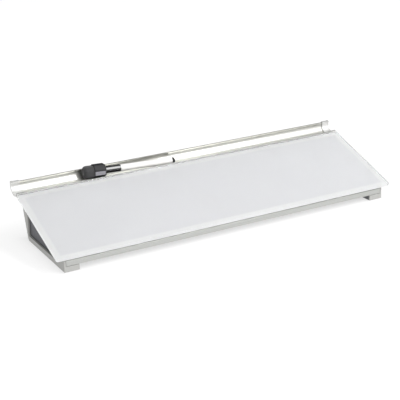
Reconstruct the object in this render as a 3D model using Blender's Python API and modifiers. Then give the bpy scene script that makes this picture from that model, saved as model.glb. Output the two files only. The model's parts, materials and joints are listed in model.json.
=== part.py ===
"""Desktop glass whiteboard: a tilted glass panel on two side brackets, with a marker in its tray.

Metres, +Z up. X runs along the board, Y from its front edge to its tray, Z up from the desk.
Sections of the straight pieces are drawn in one of two planes. The side plane is (y, z), with
y from the lower front edge of the glass. The board's plane is (s, n), with s up the slope from
that edge, and n square to the glass from its underside.
"""
from math import acos, asin, atan2, cos, hypot, pi, radians, sin, sqrt, tan

import bmesh
import bpy
from mathutils import Matrix, Vector

# Clearances
GAP = 0.0003                    # between pieces that touch
OVERRUN = 0.003                 # how far a cutter runs past what it cuts
WELD = 0.000002                 # points closer than this are one point

# Glass panel
GLASS_WIDTH = 0.4572
GLASS_DEPTH = 0.127
GLASS_THICKNESS = 0.004
GLASS_CORNER_RADIUS = 0.003
GLASS_EDGE_CHAMFER = 0.0005
BOARD_TILT = radians(19)

# Steel backing and foam tapes
BACKING_THICKNESS = 0.0008
BACKING_INSET = 0.008
BACKING_CORNER_RADIUS = 0.004
TAPE_THICKNESS = 0.0016
TAPE_WIDTH = 0.0095
TAPE_MARGIN = 0.0006

# Front rail
RAIL_UNDERSIDE_HEIGHT = 0.0078
RAIL_FACE_HEIGHT = 0.00655
RAIL_SETBACK = 0.0036
RAIL_DEPTH = 0.016
RAIL_WALL = 0.0014
RAIL_EDGE_RADIUS = 0.0005

# Tray rail
FLANGE_DEPTH = 0.026
FLANGE_THICKNESS = 0.0018
TROUGH_WALL = 0.0013
TROUGH_CLEARANCE = 0.0004       # between the eraser block's corners and the trough
FRONT_LIP_DROP = 0.0003         # trough's front lip below the face of the glass
REAR_LIP_RISE = 0.002           # trough's rear lip above the face of the glass
BEAD_HEIGHT = 0.0025
BEAD_RISE = 0.0003

# Tray end caps
END_CAP_LENGTH = 0.011
END_CAP_PLATE = 0.002
END_CAP_SKIN = 0.0006
END_CAP_RIM = 0.0003
END_CAP_SKIRT_ANGLE = radians(-52)

# Side brackets
BRACKET_INSET = 0.0097          # from the end of the glass to a bracket's outer face
BRACKET_WIDTH = 0.0184
SHELL_DEPTH = 0.008
SHELL_SIDE_WALL = 0.0024
SHELL_RIM_WALL = 0.002
LEG_LEAN = radians(15.2)
LEG_OFFSET = 0.0087             # from the trough's centre back to the leg's outer face
HEEL_RADIUS = 0.005
NOSE_RADIUS = 0.0008
WINDOW_FRONT_Y = 0.034
WINDOW_REAR_MARGIN = 0.002
WINDOW_REAR_LEAN = radians(-5)
WINDOW_SILL_HEIGHT = 0.0074
WINDOW_TOP_RAIL = 0.0075
WINDOW_CORNER_RADIUS = 0.0025
CORE_WEB = 0.002
CORE_RIM_WALL = 0.0018
CORE_RIB = 0.0016
CORE_CELLS = 4
CORE_CORNER_RADIUS = 0.001

# Rubber feet
FOOT_RADIUS = 0.0044
FOOT_PROUD = 0.0008
FOOT_RECESS = 0.0009
FOOT_EDGE_RADIUS = 0.0003
FRONT_FOOT_Y = 0.0285
REAR_FOOT_INSET = 0.0145

# Screws
SCREW_RADIUS = 0.0014
SCREW_HEAD_RADIUS = 0.0026
SCREW_HEAD_HEIGHT = 0.0016
SCREW_HEAD_ROUND = 0.0006
SCREW_TIP_LENGTH = 0.001
SCREW_TIP_SHARE = 0.35          # radius of the blunt tip, as a share of the shank's
RAIL_SCREW_RECESS = 0.0042
RAIL_SCREW_REACH = 0.0022
TRAY_SCREW_INSET = 0.0037
TRAY_SCREW_SPOTFACE = 0.0004
TRAY_SCREW_CLEARANCE = 0.006    # room for the head and its driver, past any rib
TRAY_SCREW_REACH = 0.0005
CORE_SCREW_BITE = 0.0013
NOSE_SCREW_Y = 0.0278
NOSE_SCREW_HEIGHT = 0.0108
LEG_SCREW_DROP = 0.011
LEG_SCREW_INSET = 0.0098

# Marker, measured from the end of its plug
MARKER_END_X = -0.015
PLUG_HEAD_LENGTH = 0.0036
PLUG_SPIGOT_LENGTH = 0.005
PLUG_EDGE_RADIUS = 0.0008
BARREL_RADIUS = 0.0042
BARREL_WALL = 0.0009
BARREL_LENGTH = 0.0712
RESERVOIR_CLEARANCE = 0.0005
NIB_HOLDER_SPIGOT = 0.0075
NIB_HOLDER_COLLAR = 0.006
NIB_HOLDER_CONE = 0.006
NIB_HOLDER_TIP = 0.002
NIB_HOLDER_TIP_RADIUS = 0.0024
NIB_RADIUS = 0.0013
NIB_REACH = 0.004
NIB_POINT_LENGTH = 0.0014
NIB_POINT_RADIUS = 0.0004
CAP_RADIUS = 0.0044
CAP_WALL = 0.0007
CAP_VISIBLE_LENGTH = 0.0208
CAP_HEADROOM = 0.0062
CAP_END_WALL = 0.0012
CAP_EDGE_RADIUS = 0.0003

# Eraser on the cap
ERASER_WIDTH = 0.017
ERASER_CHAMFER = 0.0048
ERASER_BLOCK_LENGTH = 0.016
ERASER_NOSE_BEVEL = 0.0013
ERASER_EDGE_BEVEL = 0.0005
ERASER_RIM = 0.0006
ERASER_POCKET_DEPTH = 0.002
FELT_LENGTH = 0.0144
FELT_END_ROUND = 0.0042
FELT_EDGE_BEVEL = 0.0009

# Steps round curves
ROUND_STEPS = 32
TROUGH_STEPS = 26
TROUGH_BACK_STEPS = 13
TROUGH_LIP_STEPS = 8
FELT_END_STEPS = 3
CORNER_STEPS = 4

# Sizes and places that follow from those above
HALF_GLASS = GLASS_WIDTH / 2
HALF_SPAN = HALF_GLASS - BRACKET_INSET
SEAT = -(BACKING_THICKNESS + TAPE_THICKNESS + 3 * GAP)
FLANGE_UNDERSIDE = SEAT - FLANGE_THICKNESS
FLANGE_FRONT = GLASS_DEPTH - FLANGE_DEPTH
RAIL_TOP_FRONT = RAIL_UNDERSIDE_HEIGHT + RAIL_FACE_HEIGHT
GLASS_FRONT_HEIGHT = RAIL_TOP_FRONT - (SEAT + RAIL_SETBACK * sin(BOARD_TILT)) / cos(BOARD_TILT)
RAIL_REAR_Y = RAIL_SETBACK + RAIL_DEPTH
RAIL_END_X = HALF_SPAN - SHELL_SIDE_WALL - GAP

ERASER_HALF = ERASER_WIDTH / 2
ERASER_FLAT_HALF = ERASER_HALF - ERASER_CHAMFER
TROUGH_INNER = hypot(ERASER_HALF, ERASER_FLAT_HALF) + TROUGH_CLEARANCE
TROUGH_OUTER = TROUGH_INNER + TROUGH_WALL
BEAD_INNER = TROUGH_INNER - BEAD_RISE
TROUGH_N = FLANGE_UNDERSIDE + TROUGH_OUTER
FRONT_LIP_N = GLASS_THICKNESS - FRONT_LIP_DROP
REAR_LIP_N = GLASS_THICKNESS + REAR_LIP_RISE
TROUGH_S = GLASS_DEPTH + GAP + sqrt(TROUGH_OUTER ** 2 - (FRONT_LIP_N - TROUGH_N) ** 2)
TROUGH_Y = TROUGH_S * cos(BOARD_TILT) - TROUGH_N * sin(BOARD_TILT)
TROUGH_Z = GLASS_FRONT_HEIGHT + TROUGH_S * sin(BOARD_TILT) + TROUGH_N * cos(BOARD_TILT)

REAR_FOOT_Y = TROUGH_Y + LEG_OFFSET / cos(LEG_LEAN) - (TROUGH_Z - FOOT_PROUD) * tan(LEG_LEAN)
WINDOW_REAR_Y = REAR_FOOT_Y - WINDOW_REAR_MARGIN

CORE_SKIN_X = HALF_SPAN - SHELL_SIDE_WALL - GAP
CORE_WEB_X = CORE_SKIN_X - CORE_WEB
CORE_FLANK_X = HALF_SPAN - SHELL_DEPTH - GAP
BRACKET_INNER_X = HALF_SPAN - BRACKET_WIDTH
CORE_MIDDLE_X = (CORE_FLANK_X + BRACKET_INNER_X) / 2
POCKET_TOP = FLANGE_UNDERSIDE - GAP - SHELL_RIM_WALL
CELL_TOP = POCKET_TOP - GAP - CORE_RIM_WALL
CELL_FLOOR = FOOT_PROUD + SHELL_RIM_WALL + GAP + CORE_RIM_WALL
CELL_REAR_INSET = SHELL_RIM_WALL + GAP + CORE_RIM_WALL

BARREL_START = PLUG_HEAD_LENGTH + GAP
BARREL_END = BARREL_START + BARREL_LENGTH
BARREL_BORE = BARREL_RADIUS - BARREL_WALL
CAP_START = BARREL_END + GAP
CAP_BORE = CAP_RADIUS - CAP_WALL
NIB_HOLDER_CONE_START = CAP_START + NIB_HOLDER_COLLAR
NIB_HOLDER_TIP_START = NIB_HOLDER_CONE_START + NIB_HOLDER_CONE
NIB_END = NIB_HOLDER_TIP_START + NIB_HOLDER_TIP + NIB_REACH
CAP_FLOOR = NIB_END + CAP_HEADROOM
CAP_END = CAP_FLOOR + CAP_END_WALL
ERASER_START = CAP_START + CAP_VISIBLE_LENGTH
ERASER_END = ERASER_START + ERASER_BLOCK_LENGTH
FELT_START = ERASER_END - ERASER_POCKET_DEPTH + GAP

COLLECTION_NAME = "desktop_glass_whiteboard"
SHARP_ANGLE = radians(35)
FLAT_ANGLE = radians(0.1)
SIDES = {"left": -1, "right": 1}

# Turns a section drawn in X and Y, and extruded along Z, into one that runs along X
ALONG_X = Matrix(((0, 0, 1, 0), (1, 0, 0, 0), (0, 1, 0, 0), (0, 0, 0, 1)))


def clear_scene():
    for old in list(bpy.data.objects):
        bpy.data.objects.remove(old, do_unlink=True)


def new_collection(name):
    collection = bpy.data.collections.new(name)
    bpy.context.scene.collection.children.link(collection)
    return collection


def linear(channel):
    """Linear value of an sRGB channel."""
    return channel / 12.92 if channel <= 0.04045 else ((channel + 0.055) / 1.055) ** 2.4


def material(name, hex_colour, roughness, metallic=0.0, transmission=0.0):
    """A Principled material from an sRGB hex colour."""
    made = bpy.data.materials.new(name)
    made.use_nodes = True
    shader = made.node_tree.nodes["Principled BSDF"]
    channels = [linear(int(hex_colour[i:i + 2], 16) / 255) for i in (1, 3, 5)]
    shader.inputs["Base Color"].default_value = (*channels, 1.0)
    shader.inputs["Roughness"].default_value = roughness
    shader.inputs["Metallic"].default_value = metallic
    shader.inputs["Transmission Weight"].default_value = transmission
    made.diffuse_color = (*channels, 1.0)
    return made


def board_point(s, n):
    """Place in the side plane of a point on the board's plane."""
    y = s * cos(BOARD_TILT) - n * sin(BOARD_TILT)
    z = GLASS_FRONT_HEIGHT + s * sin(BOARD_TILT) + n * cos(BOARD_TILT)
    return y, z


def board_height(y, n):
    """Height at depth y of the plane that lies n above the underside of the glass."""
    return GLASS_FRONT_HEIGHT + y * tan(BOARD_TILT) + n / cos(BOARD_TILT)


def leg_y(z, inset):
    """Depth at height z of the rear leg's outer face, moved in by inset."""
    return REAR_FOOT_Y + (z - FOOT_PROUD) * tan(LEG_LEAN) - inset / cos(LEG_LEAN)


def meet_board(y_at_desk, lean, n):
    """Where a line that leans back from the desk meets the plane n above the glass's underside."""
    base = board_height(y_at_desk, n)
    z = base / (1 - tan(lean) * tan(BOARD_TILT))
    return y_at_desk + z * tan(lean), z


def arc(centre, radius, start, end, steps):
    """Points from one angle to another round a centre."""
    turns = [start + (end - start) * i / steps for i in range(steps + 1)]
    return [(centre[0] + radius * cos(a), centre[1] + radius * sin(a)) for a in turns]


def rounded(corners, steps=CORNER_STEPS):
    """Outline through corners (a, b, radius), with the sharp ones given radius zero."""
    outline = []
    for i, (a, b, radius) in enumerate(corners):
        if radius == 0:
            outline.append((a, b))
            continue
        here = Vector((a, b))
        before = (Vector(corners[i - 1][:2]) - here).normalized()
        after = (Vector(corners[(i + 1) % len(corners)][:2]) - here).normalized()
        half = acos(before.dot(after)) / 2
        centre = here + (before + after).normalized() * (radius / sin(half))
        first = here + before * (radius / tan(half)) - centre
        last = here + after * (radius / tan(half)) - centre
        start = atan2(first.y, first.x)
        sweep = (atan2(last.y, last.x) - start + pi) % (2 * pi) - pi
        outline += arc(centre, radius, start, start + sweep, steps)
    return outline


def rectangle(a_low, a_high, b_low, b_high, radius=0.0):
    corners = [(a_low, b_low), (a_high, b_low), (a_high, b_high), (a_low, b_high)]
    return rounded([(a, b, radius) for a, b in corners])


def octagon(inset):
    """The eraser block's section, a square with wide chamfers, drawn in by inset."""
    half = ERASER_HALF - inset
    flat = ERASER_FLAT_HALF - inset * tan(pi / 8)
    corners = []
    for turn in (0, pi / 2, pi, -pi / 2):
        for b in (-flat, flat):
            corners.append((half * cos(turn) - b * sin(turn), half * sin(turn) + b * cos(turn)))
    return corners


def cleaned(mesh):
    """Welds a mesh, turns its faces outwards and merges the flat ones."""
    work = bmesh.new()
    work.from_mesh(mesh)
    bmesh.ops.remove_doubles(work, verts=work.verts, dist=WELD)
    bmesh.ops.dissolve_limit(work, angle_limit=FLAT_ANGLE, verts=work.verts, edges=work.edges)
    bmesh.ops.recalc_face_normals(work, faces=work.faces)
    work.to_mesh(mesh)
    work.free()
    return mesh


def extruded(loops, low, high, matrix=None):
    """Mesh of a flat outline, whose later loops are holes, extruded between two heights."""
    curve = bpy.data.curves.new("outline", "CURVE")
    curve.dimensions = "2D"
    curve.fill_mode = "BOTH"
    curve.extrude = (high - low) / 2
    for loop in loops:
        spline = curve.splines.new("POLY")
        spline.points.add(len(loop) - 1)
        for point, (a, b) in zip(spline.points, loop):
            point.co = (a, b, 0, 1)
        spline.use_cyclic_u = True
    outline = bpy.data.objects.new("outline", curve)
    bpy.context.scene.collection.objects.link(outline)
    graph = bpy.context.evaluated_depsgraph_get()
    mesh = bpy.data.meshes.new_from_object(outline.evaluated_get(graph))
    bpy.data.objects.remove(outline, do_unlink=True)
    bpy.data.curves.remove(curve)
    mesh.transform((matrix or Matrix()) @ Matrix.Translation((0, 0, (low + high) / 2)))
    return cleaned(mesh)


def along_x(loops, x_a, x_b):
    """Mesh of a section in the side plane or the board's plane, between two places on X."""
    return extruded(loops, min(x_a, x_b), max(x_a, x_b), ALONG_X)


def turned(profile, closed=False, matrix=None):
    """Mesh of a profile (radius, height) turned round Z, given outer side first, top down."""
    mesh = bpy.data.meshes.new("profile")
    edges = [(i, i + 1) for i in range(len(profile) - 1)]
    if closed:
        edges.append((len(profile) - 1, 0))
    mesh.from_pydata([(radius, 0, height) for radius, height in profile], edges, [])
    shape = bpy.data.objects.new("profile", mesh)
    bpy.context.scene.collection.objects.link(shape)
    screw = shape.modifiers.new("turn", "SCREW")
    screw.axis = "Z"
    screw.steps = ROUND_STEPS
    screw.render_steps = ROUND_STEPS
    screw.use_merge_vertices = True
    screw.merge_threshold = WELD
    graph = bpy.context.evaluated_depsgraph_get()
    result = bpy.data.meshes.new_from_object(shape.evaluated_get(graph))
    bpy.data.objects.remove(shape, do_unlink=True)
    result.transform(matrix or Matrix())
    return cleaned(result)


def frame(name, location, rotation, parent=None):
    """An empty that carries the pieces drawn in its frame."""
    empty = bpy.data.objects.new(name, None)
    PARTS.objects.link(empty)
    empty.location = location
    empty.rotation_euler = rotation
    empty.parent = parent
    return empty


def piece(name, mesh, finish, carrier):
    """A named piece of the whiteboard, smooth where its faces meet at a small angle."""
    mesh.name = name
    mesh.materials.clear()
    mesh.materials.append(finish)
    mesh.shade_smooth()
    mesh.set_sharp_from_angle(angle=SHARP_ANGLE)
    made = bpy.data.objects.new(name, mesh)
    PARTS.objects.link(made)
    made.parent = carrier
    return made


def combine(target, mesh, operation="DIFFERENCE"):
    """Cuts a mesh out of a piece, or joins it on, with a live Boolean."""
    tool = bpy.data.objects.new(target.name + "_" + operation.lower(), mesh)
    CUTTERS.objects.link(tool)
    tool.parent = target.parent
    tool.hide_render = True
    tool.display_type = "WIRE"
    boolean = target.modifiers.new(operation.lower(), "BOOLEAN")
    boolean.operation = operation
    boolean.solver = "EXACT"
    boolean.object = tool


def soften(target, width, segments=1):
    """Eases a piece's sharp edges."""
    bevel = target.modifiers.new("ease", "BEVEL")
    bevel.width = width
    bevel.segments = segments
    bevel.limit_method = "ANGLE"
    bevel.angle_limit = SHARP_ANGLE


def ease_end(mesh, facing, width, segments):
    """Eases the rim at one end of an extruded block: facing 1 for its far end, -1 for its near one."""
    work = bmesh.new()
    work.from_mesh(mesh)
    heights = [vert.co.z for vert in work.verts]
    halfway = (min(heights) + max(heights)) / 2
    rim = [edge for edge in work.edges if all((vert.co.z - halfway) * facing > 0 for vert in edge.verts)]
    bmesh.ops.bevel(work, geom=rim, offset=width, segments=segments, profile=0.5, affect="EDGES",
                    material=-1)
    work.to_mesh(mesh)
    work.free()


def pin(radius, low, high, matrix):
    """A plain cylinder for cutting a round hole."""
    work = bmesh.new()
    bmesh.ops.create_cone(work, cap_ends=True, segments=ROUND_STEPS, radius1=radius, radius2=radius,
                          depth=high - low)
    bmesh.ops.translate(work, verts=work.verts, vec=(0, 0, (low + high) / 2))
    mesh = bpy.data.meshes.new("pin")
    work.to_mesh(mesh)
    work.free()
    mesh.transform(matrix)
    return mesh


def screw_profile(length):
    """Pan-head screw that points up, with the underside of its head at height zero."""
    head = arc((SCREW_HEAD_RADIUS - SCREW_HEAD_ROUND, SCREW_HEAD_ROUND - SCREW_HEAD_HEIGHT),
               SCREW_HEAD_ROUND, 0, -pi / 2, CORNER_STEPS)
    return [(0, length), (SCREW_RADIUS * SCREW_TIP_SHARE, length),
            (SCREW_RADIUS, length - SCREW_TIP_LENGTH), (SCREW_RADIUS, 0), (SCREW_HEAD_RADIUS, 0), *head,
            (0, -SCREW_HEAD_HEIGHT)]


def side_screw_places():
    """Places in the side plane of the two screws that hold a core in its shell."""
    corner = meet_board(leg_y(0, CELL_REAR_INSET), LEG_LEAN, CELL_TOP)
    leg_height = corner[1] - LEG_SCREW_DROP
    return [(NOSE_SCREW_Y, NOSE_SCREW_HEIGHT), (leg_y(leg_height, LEG_SCREW_INSET), leg_height)]


def build_glass():
    outline = rectangle(-HALF_GLASS, HALF_GLASS, 0, GLASS_DEPTH, GLASS_CORNER_RADIUS)
    glass = piece("glass_panel", extruded([outline], 0, GLASS_THICKNESS), GLASS, BOARD)
    soften(glass, GLASS_EDGE_CHAMFER)


def build_backing():
    half = HALF_GLASS - BACKING_INSET
    outline = rectangle(-half, half, BACKING_INSET, GLASS_DEPTH - BACKING_INSET, BACKING_CORNER_RADIUS)
    sheet = extruded([outline], -GAP - BACKING_THICKNESS, -GAP)
    piece("steel_backing", sheet, WHITE_ENAMEL, BOARD)


def build_tapes():
    """Foam strips on the seats of both rails."""
    half = RAIL_END_X - TAPE_MARGIN
    front = BACKING_INSET + TAPE_MARGIN
    rear = GLASS_DEPTH - BACKING_INSET - TAPE_MARGIN
    spans = {"front_foam_tape": (front, front + TAPE_WIDTH),
             "rear_foam_tape": (rear - TAPE_WIDTH, rear)}
    for name, (s_low, s_high) in spans.items():
        strip = extruded([rectangle(-half, half, s_low, s_high)], SEAT + GAP, SEAT + GAP + TAPE_THICKNESS)
        piece(name, strip, FOAM, BOARD)


def build_front_rail():
    """Hollow extrusion whose top slopes with the glass."""
    outer = rounded([(RAIL_SETBACK, RAIL_UNDERSIDE_HEIGHT, RAIL_EDGE_RADIUS),
                     (RAIL_REAR_Y, RAIL_UNDERSIDE_HEIGHT, RAIL_EDGE_RADIUS),
                     (RAIL_REAR_Y, board_height(RAIL_REAR_Y, SEAT), RAIL_EDGE_RADIUS),
                     (RAIL_SETBACK, RAIL_TOP_FRONT, RAIL_EDGE_RADIUS)])
    floor = RAIL_UNDERSIDE_HEIGHT + RAIL_WALL
    front = RAIL_SETBACK + RAIL_WALL
    rear = RAIL_REAR_Y - RAIL_WALL
    inner = [(front, floor), (rear, floor), (rear, board_height(rear, SEAT - RAIL_WALL)),
             (front, board_height(front, SEAT - RAIL_WALL))]
    rail = piece("front_rail", along_x([outer, inner], -RAIL_END_X, RAIL_END_X), ALUMINIUM, DESK)
    for side in SIDES.values():
        place = Matrix.Translation((side * CORE_MIDDLE_X, RAIL_SETBACK + RAIL_DEPTH / 2, 0))
        combine(rail, pin(SCREW_RADIUS + GAP, RAIL_UNDERSIDE_HEIGHT - OVERRUN, floor + RAIL_WALL, place))


def trough_angle(radius, n, front=False):
    """Angle on a circle round the trough's centre where it reaches n, on its rear or front side."""
    rise = asin((n - TROUGH_N) / radius)
    return -pi - rise if front else rise


def build_tray_rail():
    """Extrusion with a flange under the glass, a round trough and a bead along its rear lip."""
    centre = (TROUGH_S, TROUGH_N)
    bead_foot = REAR_LIP_N - BEAD_HEIGHT
    outline = [(FLANGE_FRONT, FLANGE_UNDERSIDE)]
    outline += arc(centre, TROUGH_OUTER, -pi / 2, trough_angle(TROUGH_OUTER, REAR_LIP_N), TROUGH_BACK_STEPS)
    outline += arc(centre, BEAD_INNER, trough_angle(BEAD_INNER, REAR_LIP_N),
                   trough_angle(BEAD_INNER, bead_foot), CORNER_STEPS)
    outline += arc(centre, TROUGH_INNER, trough_angle(TROUGH_INNER, bead_foot),
                   trough_angle(TROUGH_INNER, FRONT_LIP_N, front=True), TROUGH_STEPS)
    outline += arc(centre, TROUGH_OUTER, trough_angle(TROUGH_OUTER, FRONT_LIP_N, front=True),
                   trough_angle(TROUGH_OUTER, SEAT, front=True), TROUGH_LIP_STEPS)
    outline.append((FLANGE_FRONT, SEAT))
    half = HALF_GLASS - END_CAP_PLATE - GAP
    rail = piece("tray_rail", along_x([outline], -half, half), ALUMINIUM, BOARD)
    for side in SIDES.values():
        place = Matrix.Translation((side * CORE_MIDDLE_X, FLANGE_FRONT + TRAY_SCREW_INSET, 0))
        combine(rail, pin(SCREW_RADIUS + GAP, FLANGE_UNDERSIDE - OVERRUN, SEAT + OVERRUN, place))


def build_end_cap(name, side):
    """Sleeve that wraps the trough's rear lip and lines its bowl, closed by a plate at the end."""
    centre = (TROUGH_S, TROUGH_N)
    lining = BEAD_INNER - GAP - END_CAP_SKIN
    skirt = TROUGH_OUTER + GAP
    top_inside = REAR_LIP_N + GAP
    top = top_inside + END_CAP_SKIN
    bead_foot = REAR_LIP_N - BEAD_HEIGHT - GAP
    sleeve = arc(centre, skirt + END_CAP_SKIN, END_CAP_SKIRT_ANGLE,
                 trough_angle(skirt + END_CAP_SKIN, top), TROUGH_LIP_STEPS)
    sleeve += arc(centre, lining, trough_angle(lining, top),
                  trough_angle(lining, FRONT_LIP_N, front=True), TROUGH_STEPS)
    sleeve += arc(centre, TROUGH_INNER - GAP, trough_angle(TROUGH_INNER - GAP, FRONT_LIP_N, front=True),
                  trough_angle(TROUGH_INNER - GAP, bead_foot), TROUGH_STEPS)
    sleeve += arc(centre, BEAD_INNER - GAP, trough_angle(BEAD_INNER - GAP, bead_foot),
                  trough_angle(BEAD_INNER - GAP, top_inside), CORNER_STEPS)
    sleeve += arc(centre, skirt, trough_angle(skirt, top_inside), END_CAP_SKIRT_ANGLE, TROUGH_LIP_STEPS)

    rim = skirt + END_CAP_SKIN + END_CAP_RIM
    bowl = lining - END_CAP_RIM
    plate = arc(centre, TROUGH_OUTER, trough_angle(TROUGH_OUTER, FRONT_LIP_N, front=True),
                END_CAP_SKIRT_ANGLE, TROUGH_STEPS)
    plate += arc(centre, rim, END_CAP_SKIRT_ANGLE, trough_angle(rim, top + END_CAP_RIM), TROUGH_LIP_STEPS)
    plate += arc(centre, bowl, trough_angle(bowl, top + END_CAP_RIM),
                 trough_angle(bowl, FRONT_LIP_N, front=True), TROUGH_STEPS)

    inside = HALF_GLASS - END_CAP_PLATE
    cap = piece(name, along_x([plate], side * inside, side * HALF_GLASS), CAP_PLASTIC, BOARD)
    sleeve_start = side * (HALF_GLASS - END_CAP_LENGTH)
    combine(cap, along_x([sleeve], sleeve_start, side * (inside + END_CAP_PLATE / 2)), "UNION")


def bracket_outline(front):
    """Side view of a bracket from its front at depth front: heel, leg, trough cradle and seats."""
    centre = Vector((TROUGH_Y, TROUGH_Z))
    radius = TROUGH_OUTER + GAP
    base = Vector((REAR_FOOT_Y, FOOT_PROUD)) - centre
    climb = Vector((sin(LEG_LEAN), cos(LEG_LEAN)))
    reach = -base.dot(climb) - sqrt(base.dot(climb) ** 2 - base.dot(base) + radius ** 2)
    tip = base + climb * reach
    cradle = arc(centre, radius, atan2(tip.y, tip.x), BOARD_TILT - pi / 2, CORNER_STEPS)
    step = FLANGE_FRONT - GAP
    corners = [(front, FOOT_PROUD, NOSE_RADIUS), (REAR_FOOT_Y, FOOT_PROUD, HEEL_RADIUS)]
    corners += [(y, z, 0) for y, z in cradle]
    corners += [(*board_point(step, FLANGE_UNDERSIDE - GAP), 0), (*board_point(step, SEAT), 0)]
    corners.append((front, board_height(front, SEAT), NOSE_RADIUS))
    return rounded(corners)


def pocket_outline(inset):
    """Side view of the space inside a shell's rim, drawn in by inset."""
    front = RAIL_SETBACK + SHELL_RIM_WALL + inset
    floor = FOOT_PROUD + SHELL_RIM_WALL + inset
    rear = SHELL_RIM_WALL + inset
    top = POCKET_TOP - inset
    return rounded([(front, floor, 0), (leg_y(floor, rear), floor, HEEL_RADIUS - rear),
                    (*meet_board(leg_y(0, rear), LEG_LEAN, top), 0), (front, board_height(front, top), 0)])


def window_outline():
    """Triangular window in a shell's side wall."""
    top = SEAT - WINDOW_TOP_RAIL
    rear_at_desk = WINDOW_REAR_Y - WINDOW_SILL_HEIGHT * tan(WINDOW_REAR_LEAN)
    corners = [(WINDOW_FRONT_Y, WINDOW_SILL_HEIGHT), (WINDOW_REAR_Y, WINDOW_SILL_HEIGHT),
               meet_board(rear_at_desk, WINDOW_REAR_LEAN, top),
               (WINDOW_FRONT_Y, board_height(WINDOW_FRONT_Y, top))]
    return rounded([(y, z, WINDOW_CORNER_RADIUS) for y, z in corners])


def rail_notch(side):
    """Space for the end of the front rail, with its clearance."""
    rear = RAIL_REAR_Y + GAP
    notch = rectangle(RAIL_SETBACK - OVERRUN, rear, RAIL_UNDERSIDE_HEIGHT - GAP,
                      board_height(rear, SEAT) + OVERRUN)
    return along_x([notch], side * (HALF_SPAN - SHELL_SIDE_WALL), side * (BRACKET_INNER_X - OVERRUN))


def build_shell(name, side):
    """Silver cap of a bracket: side wall with its window, rim wall and foot front."""
    outline = bracket_outline(RAIL_SETBACK)
    shell = piece(name, along_x([outline], side * HALF_SPAN, side * BRACKET_INNER_X), SILVER, DESK)
    past = side * (BRACKET_INNER_X - OVERRUN)
    pocket = along_x([pocket_outline(0)], side * (HALF_SPAN - SHELL_SIDE_WALL), past)
    combine(shell, pocket)
    behind = rectangle(RAIL_SETBACK + SHELL_RIM_WALL, TROUGH_Y + TROUGH_OUTER, FOOT_PROUD - OVERRUN,
                       TROUGH_Z + TROUGH_OUTER)
    combine(shell, along_x([behind], side * (HALF_SPAN - SHELL_DEPTH), past))
    combine(shell, rail_notch(side))
    combine(shell, along_x([window_outline()], side * (HALF_SPAN + OVERRUN),
                           side * (HALF_SPAN - SHELL_SIDE_WALL - OVERRUN)))
    for y, z in side_screw_places():
        hole = along_x([arc((y, z), SCREW_RADIUS + GAP, 0, 2 * pi, ROUND_STEPS)[:-1]],
                       side * (CORE_SKIN_X + GAP + CORE_SCREW_BITE + GAP), side * (CORE_WEB_X - OVERRUN))
        combine(shell, hole)


def build_core(name, side):
    """Dark moulding that fills a shell: web behind the window, ribs, screw holes, foot recesses."""
    front = RAIL_SETBACK + SHELL_RIM_WALL + GAP
    flank = along_x([bracket_outline(front)], side * CORE_FLANK_X, side * BRACKET_INNER_X)
    core = piece(name, flank, CORE_PLASTIC, DESK)
    plug = along_x([pocket_outline(GAP)], side * CORE_SKIN_X, side * (CORE_FLANK_X - OVERRUN))
    combine(core, plug, "UNION")
    combine(core, rail_notch(side))
    for cell in core_cells():
        combine(core, along_x([cell], side * CORE_WEB_X, side * (BRACKET_INNER_X - OVERRUN)))
    for y, z in side_screw_places():
        hole = along_x([arc((y, z), SCREW_RADIUS + GAP, 0, 2 * pi, ROUND_STEPS)[:-1]],
                       side * (CORE_SKIN_X + OVERRUN), side * (CORE_WEB_X - OVERRUN))
        combine(core, hole)
    rail_screw = Matrix.Translation((side * CORE_MIDDLE_X, RAIL_SETBACK + RAIL_DEPTH / 2, 0))
    head_seat = FOOT_PROUD + RAIL_SCREW_RECESS
    combine(core, pin(SCREW_HEAD_RADIUS + GAP, FOOT_PROUD - OVERRUN, head_seat, rail_screw))
    combine(core, pin(SCREW_RADIUS + GAP, FOOT_PROUD, RAIL_UNDERSIDE_HEIGHT + OVERRUN, rail_screw))
    combine(core, pin(SCREW_RADIUS + GAP, CELL_TOP - OVERRUN, SEAT, tray_screw_place(side)))
    combine(core, pin(SCREW_HEAD_RADIUS + GAP, CELL_TOP - TRAY_SCREW_CLEARANCE,
                      CELL_TOP + TRAY_SCREW_SPOTFACE, tray_screw_place(side)))
    for y in foot_places():
        recess = Matrix.Translation((side * CORE_MIDDLE_X, y, 0))
        combine(core, pin(FOOT_RADIUS + GAP, FOOT_PROUD - OVERRUN, FOOT_PROUD + FOOT_RECESS, recess))


def core_cells():
    """Outlines of the open cells between the ribs of a core."""
    front = RAIL_REAR_Y + GAP + CORE_RIM_WALL
    pitch = (leg_y(CELL_FLOOR, CELL_REAR_INSET) - front + CORE_RIB) / CORE_CELLS
    cells = []
    for i in range(CORE_CELLS):
        low = front + i * pitch
        high = low + pitch - CORE_RIB
        corners = [(low, CELL_FLOOR), (high, CELL_FLOOR), (high, board_height(high, CELL_TOP)),
                   (low, board_height(low, CELL_TOP))]
        if i == CORE_CELLS - 1:
            corners[2] = meet_board(leg_y(0, CELL_REAR_INSET), LEG_LEAN, CELL_TOP)
        cells.append(rounded([(y, z, CORE_CORNER_RADIUS) for y, z in corners]))
    return cells


def foot_places():
    """Depths of the front and rear rubber feet."""
    return FRONT_FOOT_Y, REAR_FOOT_Y - REAR_FOOT_INSET


def tray_screw_place(side):
    """Frame in which a tray screw stands on the board's plane."""
    on_board = Matrix.Translation((side * CORE_MIDDLE_X, FLANGE_FRONT + TRAY_SCREW_INSET, 0))
    board = Matrix.Translation((0, 0, GLASS_FRONT_HEIGHT)) @ Matrix.Rotation(BOARD_TILT, 4, "X")
    return board @ on_board


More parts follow.
